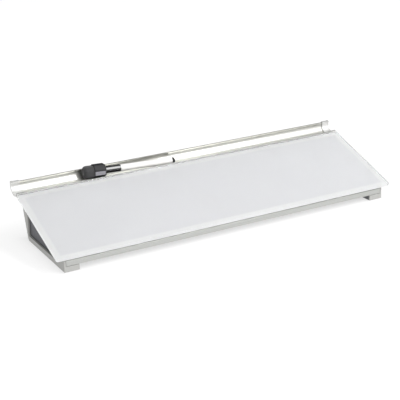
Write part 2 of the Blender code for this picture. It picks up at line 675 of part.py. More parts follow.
def build_feet():
    """Rubber pads that stand proud of the cores."""
    height = FOOT_PROUD + FOOT_RECESS - GAP
    edge = arc((FOOT_RADIUS - FOOT_EDGE_RADIUS, FOOT_EDGE_RADIUS), FOOT_EDGE_RADIUS, 0, -pi / 2, CORNER_STEPS)
    profile = [(0, height), (FOOT_RADIUS, height), *edge, (0, 0)]
    for row, y in zip(("front", "rear"), foot_places()):
        for side_name, side in SIDES.items():
            place = Matrix.Translation((side * CORE_MIDDLE_X, y, 0))
            piece(f"rubber_foot_{row}_{side_name}", turned(profile, matrix=place), RUBBER, DESK)


def build_screws():
    """Screws up into both rails, and outwards through each core into its shell."""
    rail_seat = FOOT_PROUD + RAIL_SCREW_RECESS - GAP
    rail_end = RAIL_UNDERSIDE_HEIGHT + RAIL_WALL + RAIL_SCREW_REACH
    tray_seat = CELL_TOP + TRAY_SCREW_SPOTFACE - GAP
    for side_name, side in SIDES.items():
        place = Matrix.Translation((side * CORE_MIDDLE_X, RAIL_SETBACK + RAIL_DEPTH / 2, rail_seat))
        screw = turned(screw_profile(rail_end - rail_seat), matrix=place)
        piece(f"front_rail_screw_{side_name}", screw, STEEL, DESK)

        place = tray_screw_place(side) @ Matrix.Translation((0, 0, tray_seat))
        screw = turned(screw_profile(SEAT + TRAY_SCREW_REACH - tray_seat), matrix=place)
        piece(f"tray_rail_screw_{side_name}", screw, STEEL, DESK)

        outwards = Matrix.Rotation(side * pi / 2, 4, "Y")
        for end_name, (y, z) in zip(("nose", "leg"), side_screw_places()):
            place = Matrix.Translation((side * (CORE_WEB_X - GAP), y, z)) @ outwards
            screw = turned(screw_profile(CORE_WEB + GAP + GAP + CORE_SCREW_BITE), matrix=place)
            piece(f"bracket_screw_{end_name}_{side_name}", screw, STEEL, DESK)


def build_marker(carrier):
    """Barrel, plug, ink reservoir, nib holder and nib, along Z from the plug's end."""
    edge = arc((BARREL_RADIUS - PLUG_EDGE_RADIUS, PLUG_EDGE_RADIUS), PLUG_EDGE_RADIUS, 0, -pi / 2,
               CORNER_STEPS)
    spigot = BARREL_BORE - GAP
    spigot_end = PLUG_HEAD_LENGTH + PLUG_SPIGOT_LENGTH
    plug = [(0, spigot_end), (spigot, spigot_end), (spigot, PLUG_HEAD_LENGTH),
            (BARREL_RADIUS, PLUG_HEAD_LENGTH), *edge, (0, 0)]
    piece("marker_end_plug", turned(plug), BLACK_PLASTIC, carrier)

    barrel = [(BARREL_RADIUS, BARREL_END), (BARREL_RADIUS, BARREL_START),
              (BARREL_BORE, BARREL_START), (BARREL_BORE, BARREL_END)]
    piece("marker_barrel", turned(barrel, closed=True), WHITE_PLASTIC, carrier)

    holder_start = BARREL_END - NIB_HOLDER_SPIGOT
    reservoir = BARREL_BORE - RESERVOIR_CLEARANCE
    rod = [(0, holder_start - GAP), (reservoir, holder_start - GAP), (reservoir, spigot_end + GAP),
           (0, spigot_end + GAP)]
    piece("ink_reservoir", turned(rod), FIBRE, carrier)

    bore = NIB_RADIUS + GAP
    collar = CAP_BORE - GAP
    tip_end = NIB_HOLDER_TIP_START + NIB_HOLDER_TIP
    holder = [(NIB_HOLDER_TIP_RADIUS, tip_end), (NIB_HOLDER_TIP_RADIUS, NIB_HOLDER_TIP_START),
              (collar, NIB_HOLDER_CONE_START), (collar, CAP_START), (spigot, CAP_START),
              (spigot, holder_start), (bore, holder_start), (bore, tip_end)]
    piece("nib_holder", turned(holder, closed=True), WHITE_PLASTIC, carrier)

    nib = [(0, NIB_END), (NIB_POINT_RADIUS, NIB_END), (NIB_RADIUS, NIB_END - NIB_POINT_LENGTH),
           (NIB_RADIUS, holder_start), (0, holder_start)]
    piece("nib", turned(nib), NIB_FELT, carrier)


def build_cap(carrier):
    """Cap and the eraser on its end, along the same axis as the marker."""
    edge = arc((CAP_RADIUS - CAP_EDGE_RADIUS, CAP_END - CAP_EDGE_RADIUS), CAP_EDGE_RADIUS, pi / 2, 0,
               CORNER_STEPS)
    cap = [(0, CAP_END), *edge, (CAP_RADIUS, CAP_START), (CAP_BORE, CAP_START), (CAP_BORE, CAP_FLOOR),
           (0, CAP_FLOOR)]
    piece("marker_cap", turned(cap), BLACK_GLOSS, carrier)

    block = extruded([octagon(0)], ERASER_START, ERASER_END)
    ease_end(block, -1, ERASER_NOSE_BEVEL, 1)
    holder = piece("eraser_holder", block, BLACK_PLASTIC, carrier)
    soften(holder, ERASER_EDGE_BEVEL)
    combine(holder, pin(CAP_RADIUS + GAP, ERASER_START - OVERRUN, CAP_END + GAP, Matrix()))
    pocket = extruded([octagon(ERASER_RIM)], ERASER_END - ERASER_POCKET_DEPTH, ERASER_END + OVERRUN)
    combine(holder, pocket)

    felt = extruded([octagon(ERASER_RIM + GAP)], FELT_START, FELT_START + FELT_LENGTH)
    ease_end(felt, 1, FELT_END_ROUND, FELT_END_STEPS)
    soften(piece("eraser_felt", felt, FELT, carrier), FELT_EDGE_BEVEL)


def build_marker_in_tray():
    """The capped marker at rest: eraser block in the trough, plug end down on its floor."""
    block_contact = ERASER_START + ERASER_NOSE_BEVEL
    block_sink = sqrt((TROUGH_INNER - GAP) ** 2 - ERASER_FLAT_HALF ** 2) - ERASER_HALF
    plug_height = TROUGH_Z - TROUGH_INNER + GAP + BARREL_RADIUS
    slope = asin((TROUGH_Z - block_sink - plug_height) / block_contact)
    place = (MARKER_END_X, TROUGH_Y, plug_height)
    for name, build in (("marker_axis", build_marker), ("marker_cap_axis", build_cap)):
        build(frame(name, place, (0, slope - pi / 2, 0), DESK))


clear_scene()
PARTS = new_collection(COLLECTION_NAME)
CUTTERS = new_collection("cutters")

GLASS = material("tempered_glass", "#e4e8e6", 0.05, transmission=0.6)
WHITE_ENAMEL = material("white_enamelled_steel", "#e3e3e4", 0.35)
FOAM = material("foam_tape", "#d8d8d4", 0.9)
ALUMINIUM = material("anodised_aluminium", "#cacbc6", 0.35, metallic=1.0)
SILVER = material("silver_painted_plastic", "#b8b8b5", 0.4, metallic=0.6)
CAP_PLASTIC = material("silver_moulded_plastic", "#dcdcdc", 0.4)
CORE_PLASTIC = material("dark_grey_plastic", "#5a5a5e", 0.6)
RUBBER = material("black_rubber", "#202020", 0.8)
STEEL = material("zinc_plated_steel", "#b4b4b0", 0.3, metallic=1.0)
WHITE_PLASTIC = material("white_plastic", "#f2f2f0", 0.3)
BLACK_PLASTIC = material("black_plastic", "#2a2a2e", 0.45)
BLACK_GLOSS = material("glossy_black_plastic", "#1c1c1e", 0.15)
FIBRE = material("ink_fibre", "#d9d6cc", 0.95)
NIB_FELT = material("inked_felt", "#141416", 0.9)
FELT = material("grey_felt", "#4d4d4d", 0.95)

# The footprint is centred on the origin, from the front edge of the glass to the end caps' rims
FRONT_MOST = -(GLASS_THICKNESS - GLASS_EDGE_CHAMFER) * sin(BOARD_TILT)
REAR_MOST = TROUGH_Y + TROUGH_OUTER + GAP + END_CAP_SKIN + END_CAP_RIM
DESK = frame("desk_frame", (0, -(FRONT_MOST + REAR_MOST) / 2, 0), (0, 0, 0))
BOARD = frame("board_frame", (0, 0, GLASS_FRONT_HEIGHT), (BOARD_TILT, 0, 0), DESK)

build_glass()
build_backing()
build_tapes()
build_front_rail()
build_tray_rail()
for side_name, side_sign in SIDES.items():
    build_end_cap(f"tray_end_cap_{side_name}", side_sign)
    build_shell(f"bracket_shell_{side_name}", side_sign)
    build_core(f"bracket_core_{side_name}", side_sign)
build_feet()
build_screws()
build_marker_in_tray()
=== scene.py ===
import json
from math import cos, pi, radians, sin

import bmesh
import bpy
from mathutils import Matrix, Vector, noise

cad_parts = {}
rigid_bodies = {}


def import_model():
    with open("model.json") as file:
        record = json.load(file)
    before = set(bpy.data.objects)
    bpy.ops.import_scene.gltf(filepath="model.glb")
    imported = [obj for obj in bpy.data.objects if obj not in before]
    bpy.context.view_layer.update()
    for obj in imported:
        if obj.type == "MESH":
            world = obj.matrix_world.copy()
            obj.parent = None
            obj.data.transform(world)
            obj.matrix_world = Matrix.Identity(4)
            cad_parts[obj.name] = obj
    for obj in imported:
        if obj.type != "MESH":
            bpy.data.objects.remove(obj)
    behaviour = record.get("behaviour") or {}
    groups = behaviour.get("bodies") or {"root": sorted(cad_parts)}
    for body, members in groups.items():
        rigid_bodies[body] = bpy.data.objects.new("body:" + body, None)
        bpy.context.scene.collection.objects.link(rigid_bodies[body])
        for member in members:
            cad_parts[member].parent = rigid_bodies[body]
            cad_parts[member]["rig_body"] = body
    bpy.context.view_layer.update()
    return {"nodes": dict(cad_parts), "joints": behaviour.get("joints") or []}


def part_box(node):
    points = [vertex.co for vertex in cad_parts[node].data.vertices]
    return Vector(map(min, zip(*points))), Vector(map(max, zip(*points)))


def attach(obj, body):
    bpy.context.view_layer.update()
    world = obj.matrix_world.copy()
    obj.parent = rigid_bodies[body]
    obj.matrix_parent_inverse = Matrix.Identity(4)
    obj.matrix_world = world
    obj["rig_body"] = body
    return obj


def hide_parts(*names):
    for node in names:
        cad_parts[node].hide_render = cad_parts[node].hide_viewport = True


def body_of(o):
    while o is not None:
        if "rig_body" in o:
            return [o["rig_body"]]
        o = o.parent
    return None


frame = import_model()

MM = 0.001

# Glass panel
GLASS_WIDTH = 0.4572
GLASS_DEPTH = 0.127
GLASS_THICKNESS = 0.004
GLASS_CORNER_RADIUS = 0.003
CORNER_STEPS = 8
GLASS_SEAM = 0.0005             # ground chamfer round the edges of tempered glass
PAINT_THICKNESS = 0.00016
PAINT_SINK = 0.00004            # the fired paint reaches this far into the glass it is fused to
PAINT_INSET = 0.0007
PAINTED_LIGHT_BAND_WIDTH = 0.0075           # band outside the steel backing, painted lighter for the light that shines up through the glass there
PAINTED_LIGHT_BAND_BLUR = 0.0015
TILT = radians(19)

# Marker, from the end of its plug
PLUG_HEAD_LENGTH = 0.0036
PLUG_EDGE_RADIUS = 0.0008
PLUG_SPIGOT_END = 0.0086
PLUG_DIMPLE_RADIUS = 0.002
PLUG_DIMPLE_DEPTH = 0.0004
BARREL_RADIUS = 0.0042
BARREL_BORE = 0.0033
BARREL_START = 0.0039
BARREL_END = 0.0751
SPIGOT_RADIUS = 0.003
HOLDER_START = 0.0676
HOLDER_RADIUS = 0.0034
HOLDER_CONE_START = 0.0814
HOLDER_TIP_START = 0.0874
HOLDER_TIP_RADIUS = 0.0024
HOLDER_END = 0.0894
NIB_RADIUS = 0.0013
NIB_BORE = 0.0016
NIB_POINT_RADIUS = 0.0004
NIB_POINT_START = 0.092
NIB_END = 0.0934
CAP_START = 0.0754
CAP_RADIUS = 0.0044
CAP_BORE = 0.0037
CAP_FLOOR = 0.0996
CAP_END = 0.1008

# Eraser on the marker's cap
BLOCK_START = 0.0962
BLOCK_LENGTH = 0.016
BLOCK_HALF = 0.0085
BLOCK_NOSE = 0.0013
MAGNET_HALF = 0.0024
MAGNET_DROP = 0.0008            # the magnet's middle lies this far below the marker's axis
MAGNET_SINK = 0.0003
MAGNET_PROUD = 0.00005
MAGNET_END_MARGIN = 0.0006
MAGNET_CORNER = 0.0002
FELT_START = 0.1105
FELT_LENGTH = 0.0144
FELT_HALF = 0.0076
FELT_FLAT_HALF = 0.00333
FELT_END_ROUND = 0.0042
FELT_END_STEPS = 8
FELT_SPLITS = 5                 # rounds in which the felt's long edges are halved
FELT_RUBS = 4                   # rounds of smoothing that wear the felt's edges
FELT_RUB_SHARE = 0.5
FELT_CELL = 0.0004
FELT_FUZZ = 0.00012             # the fibres' tips stay in the felt's outline, and the gaps lie this deep

# Modelling
WELD = 0.000004
FLAT_ANGLE = radians(0.3)       # neighbouring faces that turn by less than this become one
SHARP_ANGLE = radians(35)
TURN_STEPS = 96
EASE = 0.00025                  # radius that breaks a moulded or cut edge
EASE_STEPS = 2

# Patterns of the finishes, with their widths and depths in millimetres
NOISE_LOW = 0.3                 # a noise pattern's values lie mostly between these two
NOISE_HIGH = 0.7
SMEAR_WIDTH = 14                # smears that a wiping cloth leaves on glass
SMEAR_STRETCH = 3
PAINT_CLOUD_WIDTH = 60
DIE_LINE_WIDTH = 0.35
DIE_LINE_DEPTH = 0.004
DIE_LINE_STRETCH = 300
FLAKE_WIDTH = 0.3               # metal flakes in silver paint, coarser than real ones to show near by
FLAKE_DEPTH = 0.002
PEEL_WIDTH = 0.9                # orange peel of sprayed paint
PEEL_DEPTH = 0.006
FLOW_WIDTH = 2.5                # waves that the flow leaves in moulded plastic
FLOW_DEPTH = 0.004
FLOW_STRETCH = 4
FIBRE_WIDTH = 0.35
FIBRE_DEPTH = 0.12
GRIND_WIDTH = 0.2
GRIND_DEPTH = 0.004
GRIND_STRETCH = 8
PLATING_WIDTH = 0.6             # clouds in zinc plating
PLATING_DEPTH = 0.002
ACRYLIC_CLOUD_WIDTH = 90

# Camera, fitted to the photograph
CAMERA_AZIMUTH = radians(28.35)
CAMERA_ELEVATION = radians(19.78)
CAMERA_ROLL = radians(-1.96)
CAMERA_DISTANCE = 1.35137
CAMERA_TARGET = (0, 0.06, 0.03)
FOCAL_PIXELS = 1093.33
PICTURE_PIXELS = 400
OPTICAL_CENTRE = (211.24, 196.62)
SENSOR = 36

# Light
KEY_SIDE = (0, -0.8, 0.6)       # the walls are brightest on this side
SKY_DIM = 0.08
SKY_BRIGHT = 1.25
SKY_TURN = -0.4                 # the walls start to brighten this far round towards the key side
STRIP_SPOT = (0.82, -1.31, 1.42)
STRIP_AIM = (-0.12, 0, 0.07)
STRIP_LENGTH = 2.4
STRIP_WIDTH = 0.4
STRIP_POWER = 36
FLOOR_GLOW = 0.77
FLOOR_SHADE = 0.3               # glow left deep under the board, a painted shadow
SHADE_BLUR = 0.06               # the painted shadow has sunk the glow to that this far inside the board's outline
SHADE_REACH = 0.01              # and the glow starts to fade into the painted shadow this far outside it
FLOOR_HALF = 6

# The board's plane starts at the lower front edge of the glass
HALF_GLASS = GLASS_WIDTH / 2
GLASS_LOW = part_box("glass_panel")[0]
FRONT_Y = GLASS_LOW.y + (GLASS_THICKNESS - GLASS_SEAM) * sin(TILT)
FRONT_HEIGHT = GLASS_LOW.z - GLASS_SEAM * sin(TILT)
BOARD_ORIGIN = (0, FRONT_Y, FRONT_HEIGHT)
BOARD = Matrix.Translation(BOARD_ORIGIN) @ Matrix.Rotation(TILT, 4, "X")


def marker_frame():
    """Frame with Z along the marker from the end of its plug, found from the plug's solid."""
    axis = Vector(next(joint for joint in frame["joints"] if joint["name"] == "cap_pull")["axis"])
    turn = Vector((0, 0, 1)).rotation_difference(axis).to_matrix().to_4x4()
    low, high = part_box("marker_end_plug")
    end_x = high.x - (BARREL_RADIUS - PLUG_EDGE_RADIUS) * axis.z
    end_z = low.z - BARREL_RADIUS * axis.x - PLUG_EDGE_RADIUS * axis.z
    return Matrix.Translation((end_x, (low.y + high.y) / 2, end_z)) @ turn


MARKER = marker_frame()


# Colour and shader nodes
def linear(hex_colour):
    """Linear RGBA of an sRGB hex colour."""
    channels = [int(hex_colour[i:i + 2], 16) / 255 for i in (1, 3, 5)]
    return (*(c / 12.92 if c <= 0.04045 else ((c + 0.055) / 1.055) ** 2.4 for c in channels), 1.0)


def add(tree, kind, inputs=None, **settings):
    """Adds a shader node with its settings, and fills its inputs with values or links."""
    made = tree.nodes.new("ShaderNode" + kind)
    for name, value in settings.items():
        setattr(made, name, value)
    for key, value in (inputs or {}).items():
        if isinstance(value, bpy.types.NodeSocket):
            tree.links.new(value, made.inputs[key])
        else:
            made.inputs[key].default_value = value
    return made


def surface(name, base, roughness, **sockets):
    """A material with plain values on its Principled shader, and the tree to build on."""
    made = bpy.data.materials.new(name)
    made.use_nodes = True
    shader = made.node_tree.nodes["Principled BSDF"]
    shader.inputs["Base Color"].default_value = linear(base)
    shader.inputs["Roughness"].default_value = roughness
    for key, value in sockets.items():
        shader.inputs[key.replace("_", " ")].default_value = value
    made.diffuse_color = linear(base)
    return made, made.node_tree, shader


def millimetres(tree, stretch=(1, 1, 1), turn=(0, 0, 0), origin=(0, 0, 0)):
    """Object coordinates in millimetres, from an origin, turned and stretched to suit a pattern."""
    coordinates = add(tree, "TexCoord").outputs["Object"]
    scale = tuple(MM * share for share in stretch)
    return add(tree, "Mapping", {"Vector": coordinates, "Location": origin, "Rotation": turn,
                                 "Scale": scale}, vector_type="TEXTURE").outputs["Vector"]


def worked(tree, shader, vector, size, colours, roughness, depth, detail=3.0, fine=0.55):
    """Colour, roughness and relief that follow one pattern, size mm wide and depth mm deep."""
    pattern = add(tree, "TexNoise", {"Vector": vector, "Scale": 1 / size, "Detail": detail,
                                     "Roughness": fine}).outputs["Fac"]
    rise = add(tree, "MapRange", {"Value": pattern, "From Min": NOISE_LOW,
                                  "From Max": NOISE_HIGH}).outputs["Result"]
    colour = add(tree, "Mix", {0: rise, 6: linear(colours[0]), 7: linear(colours[1])}, data_type="RGBA")
    gloss = add(tree, "MapRange", {"Value": rise, "To Min": roughness[0], "To Max": roughness[1]})
    relief = add(tree, "Bump", {"Height": pattern, "Distance": depth * MM})
    tree.links.new(colour.outputs[2], shader.inputs["Base Color"])
    tree.links.new(gloss.outputs["Result"], shader.inputs["Roughness"])
    tree.links.new(relief.outputs["Normal"], shader.inputs["Normal"])
    return relief


# Materials
def tempered_glass():
    """Low-iron soda-lime float glass: clear, with faint smears from wiping in its polish."""
    made, tree, shader = surface("tempered_low_iron_glass", "#fdfefe", 0.015, IOR=1.52,
                                 Transmission_Weight=1.0)
    vector = millimetres(tree, stretch=(SMEAR_STRETCH, 1, 1))
    smears = add(tree, "TexNoise", {"Vector": vector, "Scale": 1 / SMEAR_WIDTH, "Detail": 4.0})
    polish = add(tree, "MapRange", {"Value": smears.outputs["Fac"], "From Min": NOISE_LOW,
                                    "From Max": NOISE_HIGH, "To Max": 0.05})
    tree.links.new(polish.outputs["Result"], shader.inputs["Roughness"])
    return made


def fired_paint():
    """White ceramic paint fired onto the glass's underside, with painted light: lighter outside the steel
    sheet, where light shines up through the glass.
    """
    made, tree, shader = surface("fired_white_ceramic_paint", "#f6f6f6", 0.6)
    board = millimetres(tree, turn=(TILT, 0, 0), origin=BOARD_ORIGIN)
    axes = add(tree, "SeparateXYZ", {0: board})
    across = add(tree, "Math", {0: axes.outputs["X"]}, operation="ABSOLUTE").outputs[0]
    end = add(tree, "Math", {0: HALF_GLASS / MM, 1: across}, operation="SUBTRACT").outputs[0]
    rear = add(tree, "Math", {0: GLASS_DEPTH / MM, 1: axes.outputs["Y"]},
               operation="SUBTRACT").outputs[0]
    side = add(tree, "Math", {0: axes.outputs["Y"], 1: rear}, operation="MINIMUM").outputs[0]
    nearest = add(tree, "Math", {0: end, 1: side}, operation="MINIMUM").outputs[0]
    # painted light: the band outside the steel sheet gets a lighter white, standing in for light shining
    # up through the glass
    inside = add(tree, "MapRange", {"Value": nearest, "From Min": (PAINTED_LIGHT_BAND_WIDTH - PAINTED_LIGHT_BAND_BLUR) / MM,
                                    "From Max": (PAINTED_LIGHT_BAND_WIDTH + PAINTED_LIGHT_BAND_BLUR) / MM},
                 interpolation_type="SMOOTHSTEP").outputs["Result"]
    cloud = add(tree, "TexNoise", {"Vector": board, "Scale": 1 / PAINT_CLOUD_WIDTH, "Detail": 1.0})
    middle = add(tree, "Mix", {0: cloud.outputs["Fac"], 6: linear("#f1f1f3"), 7: linear("#f5f5f7")},
                 data_type="RGBA")
    colour = add(tree, "Mix", {0: inside, 6: linear("#fcfcfc"), 7: middle.outputs[2]}, data_type="RGBA")
    tree.links.new(colour.outputs[2], shader.inputs["Base Color"])
    return made


def anodised_aluminium(name, dark, light):
    """Extruded aluminium, satin anodised: soft metal gloss, with faint die lines along its length."""
    made, tree, shader = surface(name, light, 0.34, Metallic=1.0)
    worked(tree, shader, millimetres(tree, stretch=(DIE_LINE_STRETCH, 1, 1)), DIE_LINE_WIDTH,
           (dark, light), (0.26, 0.36), DIE_LINE_DEPTH)
    return made


def painted_plastic(name, dark, light, roughness, metallic):
    """Moulded ABS under satin silver paint: metal flakes in a fine orange-peel skin."""
    made, tree, shader = surface(name, light, roughness, Metallic=metallic)
    vector = millimetres(tree)
    flakes = worked(tree, shader, vector, FLAKE_WIDTH, (dark, light),
                    (roughness + 0.06, roughness - 0.04), FLAKE_DEPTH, detail=4.0, fine=0.7)
    peel = add(tree, "TexNoise", {"Vector": vector, "Scale": 1 / PEEL_WIDTH, "Detail": 3.0})
    skin = add(tree, "Bump", {"Height": peel.outputs["Fac"], "Distance": PEEL_DEPTH * MM,
                              "Normal": flakes.outputs["Normal"]})
    tree.links.new(skin.outputs["Normal"], shader.inputs["Normal"])
    return made


def textured_plastic(name, dark, light, roughness, texture, depth):
    """Moulded plastic or rubber: matt, from a mould texture of texture mm grains, depth mm deep."""
    made, tree, shader = surface(name, light, roughness)
    worked(tree, shader, millimetres(tree), texture, (dark, light), (roughness + 0.08, roughness - 0.08),
           depth, detail=4.0, fine=0.6)
    return made


def smooth_plastic(name, dark, light, roughness, ior=1.49):
    """Polished moulded plastic or enamel: glossy, with slow waves of flow in its skin."""
    made, tree, shader = surface(name, light, roughness, IOR=ior)
    worked(tree, shader, millimetres(tree, stretch=(FLOW_STRETCH, 1, 1)), FLOW_WIDTH, (dark, light),
           (roughness + 0.05, roughness), FLOW_DEPTH, detail=5.0, fine=0.65)
    return made


def pressed_felt(name, dark, light):
    """Pressed or bonded fibres: matt and matted, with a soft sheen at grazing angles."""
    made, tree, shader = surface(name, light, 0.95, Sheen_Weight=0.15, Sheen_Roughness=0.6)
    worked(tree, shader, millimetres(tree), FIBRE_WIDTH, (dark, light), (1.0, 0.9), FIBRE_DEPTH,
           detail=6.0, fine=0.75)
    return made


def ferrite_magnet():
    """Bonded ferrite strip with a ground face: satin grey, with fine grinding marks along it."""
    made, tree, shader = surface("ground_ferrite_strip", "#77767c", 0.5, Metallic=0.2)
    worked(tree, shader, millimetres(tree, stretch=(GRIND_STRETCH, 1, 1)), GRIND_WIDTH,
           ("#7c7b81", "#8c8b91"), (0.55, 0.45), GRIND_DEPTH)
    return made


def zinc_plate():
    """Bright zinc plating on steel: cool, slightly cloudy."""
    made, tree, shader = surface("bright_zinc_plate", "#c4c6ca", 0.3, Metallic=1.0)
    worked(tree, shader, millimetres(tree), PLATING_WIDTH, ("#b4b6bc", "#cfd1d4"), (0.22, 0.42),
           PLATING_DEPTH, detail=4.0)
    return made


GLASS = tempered_glass()
PAINT = fired_paint()
ALUMINIUM = anodised_aluminium("satin_anodised_aluminium", "#b6b7b4", "#c2c3c0")
# the same anodised aluminium as the front rail's, in a lighter copy for the tray: painted light for the
# light the tray catches
TRAY_ALUMINIUM_PAINTED_LIGHTER = anodised_aluminium("tray_aluminium_painted_lighter", "#c6c6c1", "#d1d1cc")
SILVER = painted_plastic("satin_silver_painted_abs", "#9f9f9c", "#adadaa", 0.45, metallic=0.15)
PALE_SILVER = painted_plastic("pale_silver_painted_abs", "#c8c8c6", "#d4d4d2", 0.32, metallic=0.6)
DARK_ABS = textured_plastic("textured_dark_grey_abs", "#525257", "#68686d", 0.62, texture=0.5, depth=0.02)
ENAMEL = smooth_plastic("white_enamel_on_steel", "#dddddc", "#e6e6e5", 0.3)
FOAM = textured_plastic("polyethylene_foam_tape", "#cfcfca", "#dededa", 0.9, texture=0.3, depth=0.05)
RUBBER = textured_plastic("black_moulded_rubber", "#161616", "#252525", 0.8, texture=0.3, depth=0.02)
ZINC = zinc_plate()
WHITE_PP = smooth_plastic("white_polypropylene", "#dad9d7", "#e2e1df", 0.28)
BLACK_PP = textured_plastic("black_polypropylene", "#0c0c0f", "#141418", 0.6, texture=0.4, depth=0.006)
GLOSS_BLACK = smooth_plastic("polished_black_polystyrene", "#0a0a0c", "#121214", 0.06, ior=1.59)
MAGNET = ferrite_magnet()
FELT = pressed_felt("grey_pressed_felt", "#262627", "#3f3f40")
NIB_FELT = pressed_felt("ink_soaked_felt", "#0c0c0e", "#1a1a1e")
FIBRE = pressed_felt("bonded_ink_fibre", "#cfccc2", "#e2dfd6")


# Pieces
def shown(name, data):
    """A new object in the scene, of a mesh, camera or light."""
    made = bpy.data.objects.new(name, data)
    bpy.context.scene.collection.objects.link(made)
    return made


def finished(work, name, finish, body, matrix=None):
    """Makes a piece of a bmesh, with its place in its mesh, riding on a body."""
    bmesh.ops.transform(work, matrix=matrix or Matrix(), verts=work.verts)
    bmesh.ops.recalc_face_normals(work, faces=work.faces)
    mesh = bpy.data.meshes.new(name)
    work.to_mesh(mesh)
    work.free()
    mesh.materials.append(finish)
    mesh.shade_smooth()
    mesh.set_sharp_from_angle(angle=SHARP_ANGLE)
    made = shown(name, mesh)
    made.modifiers.new("even_normals", "WEIGHTED_NORMAL").keep_sharp = True
    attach(made, body)
    return made


def stand_for(piece, node):
    """The piece takes the place of a solid, which is hidden; the piece itself is not used."""
    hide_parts(node)


def eased(work, radius):
    """Breaks every edge that turns by more than the sharp angle."""
    edges = [edge for edge in work.edges
             if len(edge.link_faces) == 2 and edge.calc_face_angle() > SHARP_ANGLE]
    bmesh.ops.bevel(work, geom=edges, offset=radius, segments=EASE_STEPS, profile=0.5, affect="EDGES",
                    material=-1, clamp_overlap=True)


def dressed(node, finish, ease=EASE):
    """A copy of a solid with its edges broken, named for it."""
    solid = frame["nodes"][node]
    work = bmesh.new()
    work.from_mesh(solid.data)
    bmesh.ops.remove_doubles(work, verts=work.verts, dist=WELD)
    bmesh.ops.dissolve_limit(work, angle_limit=FLAT_ANGLE, verts=work.verts, edges=work.edges)
    eased(work, ease)
    stand_for(finished(work, node + "_skin", finish, body_of(solid)[0]), node)


def slab(work, half_width, front, rear, bottom, top, corner_radius):
    """A flat rectangular slab in the board's plane, with rounded corners."""
    bmesh.ops.create_cube(work, size=1.0)
    bmesh.ops.scale(work, verts=work.verts, vec=(2 * half_width, rear - front, top - bottom))
    bmesh.ops.translate(work, verts=work.verts, vec=(0, (front + rear) / 2, (bottom + top) / 2))
    upright = [edge for edge in work.edges
               if abs(edge.verts[0].co.z - edge.verts[1].co.z) > (top - bottom) / 2]
    bmesh.ops.bevel(work, geom=upright, offset=corner_radius, segments=CORNER_STEPS, profile=0.5,
                    affect="EDGES", material=-1)


def make_glass():
    """Clear tempered slab, with the white paint fired to its underside."""
    work = bmesh.new()
    slab(work, HALF_GLASS, 0, GLASS_DEPTH, 0, GLASS_THICKNESS, GLASS_CORNER_RADIUS)
    rims = [edge for edge in work.edges if edge.calc_face_angle() > SHARP_ANGLE]
    bmesh.ops.bevel(work, geom=rims, offset=GLASS_SEAM, segments=EASE_STEPS, profile=0.5, affect="EDGES",
                    material=-1)
    stand_for(finished(work, "glass_slab", GLASS, "board", BOARD), "glass_panel")

    work = bmesh.new()
    slab(work, HALF_GLASS - PAINT_INSET, PAINT_INSET, GLASS_DEPTH - PAINT_INSET,
         PAINT_SINK - PAINT_THICKNESS, PAINT_SINK, GLASS_CORNER_RADIUS - PAINT_INSET)
    finished(work, "glass_paint", PAINT, "board", BOARD)


def turned(name, profile, finish, body, node, closed=False, ease=EASE / 2):
    """A profile of (radius, height) turned round the marker's axis, with its edges broken."""
    work = bmesh.new()
    verts = [work.verts.new((radius, 0, height)) for radius, height in profile]
    ends = verts[1:] + (verts[:1] if closed else [])
    edges = [work.edges.new(pair) for pair in zip(verts, ends)]
    bmesh.ops.spin(work, geom=verts + edges, cent=(0, 0, 0), axis=(0, 0, 1), angle=2 * pi,
                   steps=TURN_STEPS, use_merge=True)
    bmesh.ops.remove_doubles(work, verts=work.verts, dist=WELD)
    eased(work, ease)
    stand_for(finished(work, name, finish, body, MARKER), node)


def make_marker():
    """Slim marker: plug with a moulding dimple, tube, nib holder and nib."""
    turned("plug_turning", [(0, PLUG_SPIGOT_END), (SPIGOT_RADIUS, PLUG_SPIGOT_END),
                            (SPIGOT_RADIUS, PLUG_HEAD_LENGTH), (BARREL_RADIUS, PLUG_HEAD_LENGTH),
                            (BARREL_RADIUS, PLUG_EDGE_RADIUS),
                            (BARREL_RADIUS - PLUG_EDGE_RADIUS / 4, PLUG_EDGE_RADIUS / 3),
                            (BARREL_RADIUS - PLUG_EDGE_RADIUS, 0), (PLUG_DIMPLE_RADIUS, 0),
                            (PLUG_DIMPLE_RADIUS - PLUG_DIMPLE_DEPTH, PLUG_DIMPLE_DEPTH),
                            (0, PLUG_DIMPLE_DEPTH)],
           BLACK_PP, "marker", "marker_end_plug")
    turned("barrel_tube", [(BARREL_RADIUS, BARREL_START), (BARREL_RADIUS, BARREL_END),
                           (BARREL_BORE, BARREL_END), (BARREL_BORE, BARREL_START)],
           WHITE_PP, "marker", "marker_barrel", closed=True)
    turned("holder_turning", [(HOLDER_TIP_RADIUS, HOLDER_END), (HOLDER_TIP_RADIUS, HOLDER_TIP_START),
                              (HOLDER_RADIUS, HOLDER_CONE_START), (HOLDER_RADIUS, CAP_START),
                              (SPIGOT_RADIUS, CAP_START), (SPIGOT_RADIUS, HOLDER_START),
                              (NIB_BORE, HOLDER_START), (NIB_BORE, HOLDER_END)],
           WHITE_PP, "marker", "nib_holder", closed=True)
    turned("nib_turning", [(0, NIB_END), (NIB_POINT_RADIUS, NIB_END), (NIB_RADIUS, NIB_POINT_START),
                           (NIB_RADIUS, HOLDER_START), (0, HOLDER_START)],
           NIB_FELT, "marker", "nib")
    turned("cap_turning", [(0, CAP_END), (CAP_RADIUS, CAP_END), (CAP_RADIUS, CAP_START),
                           (CAP_BORE, CAP_START), (CAP_BORE, CAP_FLOOR), (0, CAP_FLOOR)],
           GLOSS_BLACK, "marker_cap", "marker_cap", ease=EASE)


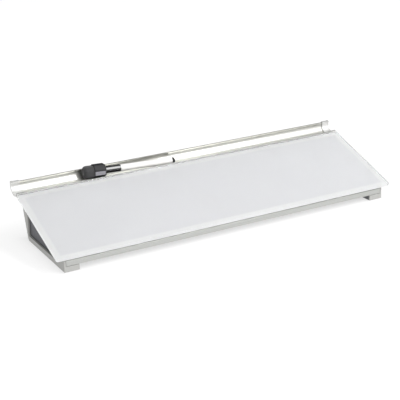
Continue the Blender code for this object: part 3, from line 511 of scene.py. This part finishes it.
def make_magnet():
    """Magnet strip let into the front flat of the eraser's block, which holds the marker to steel."""
    inner, outer = BLOCK_HALF - MAGNET_SINK, BLOCK_HALF + MAGNET_PROUD
    start = BLOCK_START + BLOCK_NOSE + MAGNET_END_MARGIN
    end = BLOCK_START + BLOCK_LENGTH - MAGNET_END_MARGIN
    work = bmesh.new()
    bmesh.ops.create_cube(work, size=1.0)
    bmesh.ops.scale(work, verts=work.verts, vec=(end - start, outer - inner, 2 * MAGNET_HALF))
    eased(work, MAGNET_CORNER)
    lean = Matrix.Rotation(MARKER.to_3x3().col[2].angle(Vector((-1, 0, 0))), 4, "Y")
    spot = MARKER @ Vector((0, 0, (start + end) / 2)) - Vector((0, (inner + outer) / 2, MAGNET_DROP))
    strip = finished(work, "magnet_strip", MAGNET, "marker_cap", Matrix.Translation(spot) @ lean)


def make_felt():
    """Eight-sided felt pad, its outer end rounded by use and its faces roughened by fibres."""
    work = bmesh.new()
    rim = []
    for quarter in range(4):
        turn = Matrix.Rotation(quarter * pi / 2, 4, "Z")
        rim += [work.verts.new(turn @ Vector((FELT_HALF, side * FELT_FLAT_HALF, FELT_START)))
                for side in (-1, 1)]
    pad = bmesh.ops.extrude_face_region(work, geom=[work.faces.new(rim)])
    lifted = [vert for vert in pad["geom"] if isinstance(vert, bmesh.types.BMVert)]
    bmesh.ops.translate(work, verts=lifted, vec=(0, 0, FELT_LENGTH))
    outer_rim = [edge for edge in work.edges if all(vert in lifted for vert in edge.verts)]
    bmesh.ops.bevel(work, geom=outer_rim, offset=FELT_END_ROUND, segments=FELT_END_STEPS, profile=0.5,
                    affect="EDGES", material=-1)
    bmesh.ops.triangulate(work, faces=work.faces)
    for _ in range(FELT_SPLITS):
        long_edges = [edge for edge in work.edges if edge.calc_length() > 2 * FELT_CELL]
        bmesh.ops.subdivide_edges(work, edges=long_edges, cuts=1)
        bmesh.ops.triangulate(work, faces=work.faces)
    for _ in range(FELT_RUBS):
        bmesh.ops.smooth_vert(work, verts=work.verts, factor=FELT_RUB_SHARE, use_axis_x=True,
                              use_axis_y=True, use_axis_z=True)
    work.normal_update()
    for vert in work.verts:
        depth = (noise.noise(vert.co / FELT_CELL) - 1) / 2
        vert.co += vert.normal * depth * FELT_FUZZ
    stand_for(finished(work, "felt_pad", FELT, "marker_cap", MARKER), "eraser_felt")


make_glass()
make_marker()
make_magnet()
make_felt()
dressed("front_rail", ALUMINIUM)
dressed("tray_rail", TRAY_ALUMINIUM_PAINTED_LIGHTER)
dressed("eraser_holder", BLACK_PP)
for side in ("left", "right"):
    dressed(f"tray_end_cap_{side}", PALE_SILVER, EASE / 2)
    dressed(f"bracket_shell_{side}", SILVER)
    dressed(f"bracket_core_{side}", DARK_ABS)
    for row in ("front", "rear"):
        dressed(f"rubber_foot_{row}_{side}", RUBBER, EASE / 2)

# Hidden pieces keep their solids, and so do the screws
CARRIED_OVER = {"steel_backing": ENAMEL, "front_foam_tape": FOAM, "rear_foam_tape": FOAM,
                "ink_reservoir": FIBRE}
for node_name, node in frame["nodes"].items():
    finish = CARRIED_OVER.get(node_name, ZINC if "screw" in node_name else None)
    if finish:
        node.data.materials.clear()
        node.data.materials.append(finish)


# Camera, light and floor
def make_camera():
    """Camera at the photograph's place and viewing angle."""
    forward = Vector((sin(CAMERA_AZIMUTH) * cos(CAMERA_ELEVATION),
                      cos(CAMERA_AZIMUTH) * cos(CAMERA_ELEVATION), -sin(CAMERA_ELEVATION)))
    level = Vector((cos(CAMERA_AZIMUTH), -sin(CAMERA_AZIMUTH), 0))
    level_up = level.cross(forward)
    right = level * cos(CAMERA_ROLL) + level_up * sin(CAMERA_ROLL)
    up = level_up * cos(CAMERA_ROLL) - level * sin(CAMERA_ROLL)
    spot = Vector(CAMERA_TARGET) + Vector((0, FRONT_Y, 0)) - forward * CAMERA_DISTANCE
    data = bpy.data.cameras.new("camera")
    data.sensor_width = SENSOR
    data.lens = FOCAL_PIXELS * SENSOR / PICTURE_PIXELS
    data.shift_x = 0.5 - OPTICAL_CENTRE[0] / PICTURE_PIXELS
    data.shift_y = OPTICAL_CENTRE[1] / PICTURE_PIXELS - 0.5
    camera = shown("camera", data)
    camera.matrix_world = Matrix((right, up, -forward)).transposed().to_4x4()
    camera.matrix_world.translation = spot
    bpy.context.scene.camera = camera


def make_strip_light():
    """Tall softbox in front, above and to the right, leaning over the board."""
    data = bpy.data.lights.new("strip_softbox", "AREA")
    data.shape = "RECTANGLE"
    data.size = STRIP_WIDTH
    data.size_y = STRIP_LENGTH
    data.energy = STRIP_POWER
    light = shown("strip_softbox", data)
    beam = (Vector(STRIP_AIM) - Vector(STRIP_SPOT)).normalized()
    across = (Vector((1, 0, 0)) - beam * beam.x).normalized()
    light.matrix_world = Matrix((across, across.cross(beam), -beam)).transposed().to_4x4()
    light.matrix_world.translation = STRIP_SPOT


def make_sky():
    """Studio walls, brightest in front and above, and dimmer behind."""
    world = bpy.data.worlds.new("studio_walls")
    world.use_nodes = True
    tree = world.node_tree
    direction = add(tree, "TexCoord").outputs["Generated"]
    facing = add(tree, "VectorMath", {0: direction, 1: Vector(KEY_SIDE).normalized()},
                 operation="DOT_PRODUCT").outputs["Value"]
    strength = add(tree, "MapRange", {"Value": facing, "From Min": SKY_TURN, "From Max": 1.0,
                                      "To Min": SKY_DIM, "To Max": SKY_BRIGHT}).outputs["Result"]
    tree.links.new(strength, tree.nodes["Background"].inputs["Strength"])
    tree.nodes["Background"].inputs["Color"].default_value = linear("#ffffff")
    bpy.context.scene.world = world


def make_floor():
    """Backlit white acrylic table, whose own light keeps the shadows pale; its glow is turned down under
    the board as a painted shadow.
    """
    acrylic, tree, shader = surface("backlit_white_acrylic", "#8e8e8e", 0.9, Specular_IOR_Level=0.0)
    vector = millimetres(tree)
    worked(tree, shader, vector, ACRYLIC_CLOUD_WIDTH, ("#8c8c8c", "#909090"), (0.9, 0.9), 0.0, detail=1.0)
    axes = add(tree, "SeparateXYZ", {0: vector})
    across = add(tree, "Math", {0: axes.outputs["X"]}, operation="ABSOLUTE").outputs[0]
    deep = add(tree, "Math", {0: axes.outputs["Y"]}, operation="ABSOLUTE").outputs[0]
    side = add(tree, "Math", {0: across, 1: HALF_GLASS / MM}, operation="SUBTRACT").outputs[0]
    front = add(tree, "Math", {0: deep, 1: -FRONT_Y / MM}, operation="SUBTRACT").outputs[0]
    outside = add(tree, "Math", {0: side, 1: front}, operation="MAXIMUM").outputs[0]
    # painted shadow: the floor's glow is turned down under and around the board's outline
    glow_with_painted_shadow = add(tree, "MapRange", {"Value": outside, "From Min": -SHADE_BLUR / MM,
                                  "From Max": SHADE_REACH / MM, "To Min": FLOOR_SHADE,
                                  "To Max": FLOOR_GLOW}, interpolation_type="SMOOTHSTEP")
    tree.links.new(glow_with_painted_shadow.outputs["Result"], shader.inputs["Emission Strength"])
    shader.inputs["Emission Color"].default_value = linear("#ffffff")
    work = bmesh.new()
    bmesh.ops.create_grid(work, x_segments=1, y_segments=1, size=FLOOR_HALF)
    mesh = bpy.data.meshes.new("floor")
    work.to_mesh(mesh)
    work.free()
    mesh.materials.append(acrylic)
    shown("floor", mesh)


make_camera()
make_sky()
make_floor()
make_strip_light()
bpy.context.scene.view_settings.view_transform = "Standard"
